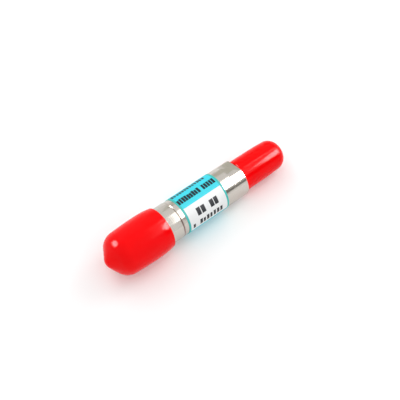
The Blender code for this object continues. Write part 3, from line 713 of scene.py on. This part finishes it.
bore_floor = JACK_PLANE - SOCKET_DEPTH
flange_end = JACK_BEAD_START + FLANGE_LENGTH
outline = [(0.0, bore_floor - SOCKET_BORE_RADIUS), (SOCKET_BORE_RADIUS, bore_floor)]
outline += [(SOCKET_BORE_RADIUS, JACK_PLANE - SOCKET_LEAD_IN)]
outline += [(SOCKET_BORE_RADIUS + SOCKET_LEAD_IN, JACK_PLANE), (CONDUCTOR_RADIUS, JACK_PLANE)]
outline += [(CONDUCTOR_RADIUS, flange_end), (FLANGE_RADIUS, flange_end)]
outline += [(FLANGE_RADIUS, JACK_BEAD_START), (CONDUCTOR_RADIUS, JACK_BEAD_START)]
outline += [(CONDUCTOR_RADIUS, SOCKET_END), (0.0, SOCKET_END)]
socket = lathe("center_socket_plated", outline, segments=64)
low = (-TAIL_MILL_WIDTH, -SLOT_WIDTH / 2, JACK_PLANE - SLOT_LENGTH)
high = (TAIL_MILL_WIDTH, SLOT_WIDTH / 2, JACK_PLANE + SLACK)
for turn in (0.0, math.pi / 2):
    cut(socket, box("slot_saw", low, high, turn))
low = (TAIL_HEIGHT, -TAIL_MILL_WIDTH, SOCKET_END - SLACK)
high = (TAIL_MILL_WIDTH, TAIL_MILL_WIDTH, SOCKET_END + TAIL_LENGTH)
cut(socket, box("socket_mill", low, high))

gold = Finish("gold_plate")
lines = gold.noise(gold.on_part(), scale=700.0, detail=3.0, stretch=(1.0, 1.0, 22.0))
gold.set(Metallic=1.0, Base_Color=gold.mix(lines, GOLD_DEEP, GOLD_PALE))
gold.set(Roughness=0.16 + lines * 0.16)
gold.set(Normal=gold.bump(lines, strength=0.12, distance=0.000006))
fit(pin, "center_pin", gold)
fit(socket, "center_socket", gold)

# The carrier: brass, milled in two halves that meet along the chip, and plated with gold. It
# slides into the jack body's cavity and clamps the chip's earthed edges.
CARRIER_DEEP = (0.86, 0.60, 0.25, 1.0)
CARRIER_PALE = (0.98, 0.75, 0.37, 1.0)


def dress(finish, *nodes):
    """Gives CAD nodes that keep their shape a better surface."""
    for node in nodes:
        for place in frame["nodes"][node].material_slots:
            place.material = finish.surface


carrier_plate = Finish("carrier_plate")
mill_marks = carrier_plate.noise(carrier_plate.on_part(), scale=500.0, stretch=(9.0, 1.0, 1.0))
carrier_plate.set(Base_Color=carrier_plate.mix(mill_marks, CARRIER_DEEP, CARRIER_PALE))
carrier_plate.set(Metallic=1.0, Roughness=0.25 + mill_marks * 0.2)
carrier_plate.set(Normal=carrier_plate.bump(mill_marks, strength=0.15, distance=0.00001))
dress(carrier_plate, "carrier_lower", "carrier_upper")

# The chip: a small plate of fired alumina ceramic, which lies in the lower half's pocket and
# carries the printed circuit that does the part's work.
ALUMINA_DEEP = (0.80, 0.79, 0.74, 1.0)
ALUMINA_PALE = (0.93, 0.92, 0.89, 1.0)

ceramic = Finish("fired_alumina")
speckle = ceramic.noise(ceramic.on_part(), scale=9000.0, detail=4.0)
ceramic.set(Base_Color=ceramic.mix(speckle, ALUMINA_DEEP, ALUMINA_PALE))
ceramic.set(Roughness=0.45 + speckle * 0.2)
ceramic.set(Normal=ceramic.bump(speckle, strength=0.25, distance=0.000008))
dress(ceramic, "chip")

# The printed circuit: a black resistive film that takes up the signal, with silver pads at the
# chip's ends and silver earth strips along its sides, all screen-printed and fired.
INK_DEEP = (0.02, 0.02, 0.025, 1.0)
INK_PALE = (0.09, 0.09, 0.10, 1.0)
SILVER_DEEP = (0.60, 0.60, 0.58, 1.0)
SILVER_PALE = (0.82, 0.82, 0.80, 1.0)

carbon = Finish("fired_resistor_ink")
grit = carbon.noise(carbon.on_part(), scale=14000.0, detail=4.0)
carbon.set(Base_Color=carbon.mix(grit, INK_DEEP, INK_PALE), Roughness=0.4 + grit * 0.35)
carbon.set(Normal=carbon.bump(grit, strength=0.4, distance=0.000006))
dress(carbon, "resistor_film")

silver = Finish("fired_silver_ink")
fired = silver.noise(silver.on_part(), scale=11000.0, detail=4.0)
silver.set(Metallic=1.0, Base_Color=silver.mix(fired, SILVER_DEEP, SILVER_PALE))
silver.set(Roughness=0.3 + fired * 0.3)
silver.set(Normal=silver.bump(fired, strength=0.3, distance=0.000006))
dress(silver, "input_pad", "output_pad", "ground_strip_near", "ground_strip_far")

# The ribbons: thin gold strips bonded at one end to a conductor's flat tail and at the other to
# the pad beside it. They take the same surface as the plated conductors.
dress(gold, "input_ribbon", "output_ribbon")

# The label: a printed film wrapped once round the body. Its print is plain: a coloured band, a
# white field with a line along each edge, and rows of blank blocks.
LABEL_START = 0.0013
LABEL_END = 0.01344
LABEL_FIT = 0.00002
LABEL_THICKNESS = 0.00006
LABEL_SEAM = 0.00025
LABEL_SEAM_ANGLE = math.radians(-140.0)
LABEL_EDGE = 0.00002
EDGE_LINE = 0.00052
FIELD_START_ANGLE = 19.5
FIELD_END_ANGLE = 103.0
SOFT = 0.00002
SOFT_ANGLE = 0.25
SOFT_SHARE = 0.05
WHITE_DEEP = (0.82, 0.83, 0.84, 1.0)
WHITE_PALE = (0.88, 0.89, 0.89, 1.0)
CYAN_DEEP = (0.03, 0.64, 0.76, 1.0)
CYAN_PALE = (0.05, 0.70, 0.82, 1.0)
LINE_COLOUR = (0.04, 0.50, 0.47, 1.0)
PRINT_COLOUR = (0.008, 0.010, 0.016, 1.0)

inner = BODY_RADIUS + LABEL_FIT
outer = inner + LABEL_THICKNESS
seam_gap = LABEL_SEAM / outer
outline = [(inner, LABEL_END), (outer - LABEL_EDGE, LABEL_END), (outer, LABEL_END - LABEL_EDGE)]
outline += [(outer, LABEL_START + LABEL_EDGE), (outer - LABEL_EDGE, LABEL_START)]
outline += [(inner, LABEL_START), (inner, LABEL_END)]
label = lathe("wrapped_label", outline, segments=160, angle=math.tau - seam_gap)
close_split(label, LABEL_SEAM_ANGLE + seam_gap / 2)

film = Finish("printed_film")
point = film.on_part()
height, side, station = film.split(point)
round_angle = side.math("ARCTAN2", side, height) * math.degrees(1.0)


def blocks(low, high, start, end, count, fill, seed, uneven=0.3, gap=-1.0):
    """Draws a row of plain blocks between two angles and two stations, and leaves one gap."""
    place = (station - start) * (count / (end - start))
    cell = place.floor()
    wide = film.node("ShaderNodeTexWhiteNoise", {"noise_dimensions": "1D"}, {"W": cell + seed})
    tall = film.node("ShaderNodeTexWhiteNoise", {"noise_dimensions": "1D"},
                     {"W": cell + seed + 0.5})
    width = fill * (1.0 - uneven) + wide * (fill * uneven)
    top = low + tall * ((high - low) * uneven)
    inked = 1.0 - place.part().rises(width - SOFT_SHARE, width + SOFT_SHARE)
    inked = inked * (1.0 - cell.math("COMPARE", cell, gap, 0.5))
    inked = inked * round_angle.within(top, high, SOFT_ANGLE)
    return inked * station.within(start, end, SOFT)


print_rows = blocks(
    low=-50.0, high=-32.0, start=0.0019, end=0.0118, count=13, fill=0.86, seed=3.0)
print_rows = print_rows.most(blocks(
    low=-16.0, high=4.0, start=0.0017, end=0.0128, count=15, fill=0.93, seed=11.0,
    uneven=0.16, gap=9.0))
print_rows = print_rows.most(blocks(
    low=34.5, high=60.2, start=0.0044, end=0.0109, count=5, fill=0.90, seed=29.0,
    uneven=0.12, gap=2.0))
print_rows = print_rows.most(blocks(
    low=73.0, high=94.0, start=0.0025, end=0.0117, count=9, fill=0.78, seed=41.0,
    uneven=0.25, gap=1.0))
band = 1.0 - round_angle.within(FIELD_START_ANGLE, FIELD_END_ANGLE, SOFT_ANGLE)
edge_lines = 1.0 - station.within(LABEL_START + EDGE_LINE, LABEL_END - EDGE_LINE, SOFT)
paper = film.noise(point, scale=2600.0, detail=3.0)
white = film.mix(paper, WHITE_DEEP, WHITE_PALE)
cyan = film.mix(paper, CYAN_DEEP, CYAN_PALE)
colour = film.mix(band, white, cyan)
colour = film.mix(edge_lines, colour, LINE_COLOUR)
colour = film.mix(print_rows * 0.98, colour, PRINT_COLOUR)
film.set(Base_Color=colour, Specular_IOR_Level=0.2)
film.set(Roughness=0.46 + paper * 0.10 - print_rows * 0.06)
film.set(Normal=film.bump(paper + print_rows * 0.4, strength=0.08, distance=0.00001))
fit(label, "label", film)

# The large cap: soft vinyl, dip-moulded in one piece over a former, so its wall bulges and its
# nose is a blunt cone. It is pushed over the nut and grips the collar.
PLUG_CAP_MOUTH = -0.00343
PLUG_CAP_TIP = -0.01958
PLUG_CAP_WIDEST = -0.00867
PLUG_CAP_WIDEST_RADIUS = 0.00569
PLUG_CAP_SHOULDER_RADIUS = 0.0055
PLUG_CAP_MOUTH_RADIUS = 0.00532
PLUG_CAP_GRIP_RADIUS = 0.0048
PLUG_CAP_BORE_RADIUS = 0.00467
PLUG_CAP_LIP = 0.00022
PLUG_CAP_NOSE_WALL = 0.0011
PLUG_CAP_BULGE = 3.0
PLUG_NOSE_ANGLE = math.radians(57.5)
PLUG_NOSE_TIP_RADIUS = 0.0024
PLUG_NOSE_SHOULDER_RADIUS = 0.0039
VINYL_DEEP = (0.89, 0.0, 0.0, 1.0)
VINYL_PALE = (0.96, 0.0, 0.003, 1.0)


def nose(tip, inward, wall_radius, tip_radius, shoulder_radius, cone_angle, steps=8):
    """Gives a cap's closed end from the axis out to its wall: tip, cone and shoulder."""
    lean = math.degrees(cone_angle)
    cone_radius = wall_radius - shoulder_radius + shoulder_radius * math.cos(cone_angle)
    tip_edge = tip_radius * math.cos(cone_angle)
    cone_start = tip_radius * (1.0 - math.sin(cone_angle))
    cone_end = cone_start + (cone_radius - tip_edge) / math.tan(cone_angle)
    shoulder = cone_end + shoulder_radius * math.sin(cone_angle)
    points = arc(0.0, -tip_radius, tip_radius, 90.0, lean, steps)
    points += arc(wall_radius - shoulder_radius, -shoulder, shoulder_radius, lean, 0.0, steps * 2)
    points[0] = (0.0, 0.0)
    return [(radius, tip - inward * depth) for radius, depth in points]


def bulge(start, end, power=2.0, steps=12):
    """Gives points on a curve from a wall's widest point, start, to its end."""
    points = []
    for i in range(1, steps + 1):
        share = i / steps
        radius = start[0] + (end[0] - start[0]) * share ** power
        points.append((radius, start[1] + (end[1] - start[1]) * share))
    return points


wall = PLUG_CAP_SHOULDER_RADIUS - PLUG_CAP_BORE_RADIUS
lip_point = (PLUG_CAP_MOUTH_RADIUS, PLUG_CAP_MOUTH - PLUG_CAP_LIP)
widest = (PLUG_CAP_WIDEST_RADIUS, PLUG_CAP_WIDEST)
outside = nose(PLUG_CAP_TIP, 1.0, PLUG_CAP_SHOULDER_RADIUS, PLUG_NOSE_TIP_RADIUS,
               PLUG_NOSE_SHOULDER_RADIUS, PLUG_NOSE_ANGLE)
inside = nose(PLUG_CAP_TIP + PLUG_CAP_NOSE_WALL, 1.0, PLUG_CAP_BORE_RADIUS,
              PLUG_NOSE_TIP_RADIUS - wall, PLUG_NOSE_SHOULDER_RADIUS - wall, PLUG_NOSE_ANGLE)
outline = inside + [(PLUG_CAP_BORE_RADIUS, NUT_REAR), (PLUG_CAP_GRIP_RADIUS, COLLAR_FRONT)]
outline += [(PLUG_CAP_GRIP_RADIUS, PLUG_CAP_MOUTH - SLACK)]
outline += [(PLUG_CAP_GRIP_RADIUS + SLACK, PLUG_CAP_MOUTH)]
outline += arc(lip_point[0] - PLUG_CAP_LIP, lip_point[1], PLUG_CAP_LIP, 90.0, 0.0)
outline += reversed(bulge(widest, lip_point, PLUG_CAP_BULGE)[:-1])
outline += [widest]
outline += bulge(widest, outside[-1])[:-1]
outline += reversed(outside)
large_cap = lathe("large_vinyl_cap", outline, segments=128)

vinyl = Finish("red_vinyl")
point = vinyl.on_part()
flow = vinyl.noise(point, scale=170.0)
peel = vinyl.noise(point, scale=1500.0, detail=3.0)
haze = vinyl.noise(point, scale=420.0, detail=4.0)
vinyl.set(Base_Color=vinyl.mix(flow, VINYL_DEEP, VINYL_PALE), Specular_IOR_Level=0.11)
vinyl.set(Roughness=0.07 + haze * 0.09)
vinyl.set(Normal=vinyl.bump(flow * 0.7 + peel * 0.3, strength=0.06, distance=0.00008))
fit(large_cap, "plug_cap", vinyl, smooth=60.0)

# The small cap: the same vinyl, dipped over a thinner former and pushed over the jack's barrel
# until it nearly meets the body.
JACK_CAP_MOUTH = 0.02015
JACK_CAP_TIP = 0.03402
JACK_CAP_SHOULDER_RADIUS = 0.00383
JACK_CAP_MOUTH_RADIUS = 0.00404
JACK_CAP_BORE_RADIUS = 0.003225
JACK_CAP_LIP = 0.0002
JACK_CAP_NOSE_WALL = 0.0010
JACK_CAP_BULGE = 3.2
JACK_NOSE_ANGLE = math.radians(61.0)
JACK_NOSE_TIP_RADIUS = 0.0020
JACK_NOSE_SHOULDER_RADIUS = 0.00275

wall = JACK_CAP_SHOULDER_RADIUS - JACK_CAP_BORE_RADIUS
lip_point = (JACK_CAP_MOUTH_RADIUS, JACK_CAP_MOUTH + JACK_CAP_LIP)
outside = nose(JACK_CAP_TIP, -1.0, JACK_CAP_SHOULDER_RADIUS, JACK_NOSE_TIP_RADIUS,
               JACK_NOSE_SHOULDER_RADIUS, JACK_NOSE_ANGLE)[:-1]
inside = nose(JACK_CAP_TIP - JACK_CAP_NOSE_WALL, -1.0, JACK_CAP_BORE_RADIUS,
              JACK_NOSE_TIP_RADIUS - wall, JACK_NOSE_SHOULDER_RADIUS - wall, JACK_NOSE_ANGLE)
outline = list(outside)
outline += reversed(bulge(lip_point, outside[-1], JACK_CAP_BULGE)[:-1])
outline += arc(lip_point[0] - JACK_CAP_LIP, lip_point[1], JACK_CAP_LIP, 0.0, -90.0)
outline += [(JACK_CAP_BORE_RADIUS + SLACK, JACK_CAP_MOUTH)]
outline += [(JACK_CAP_BORE_RADIUS, JACK_CAP_MOUTH + SLACK)]
outline += reversed(inside)
small_cap = lathe("small_vinyl_cap", outline, segments=112)
fit(small_cap, "jack_cap", vinyl, smooth=60.0)
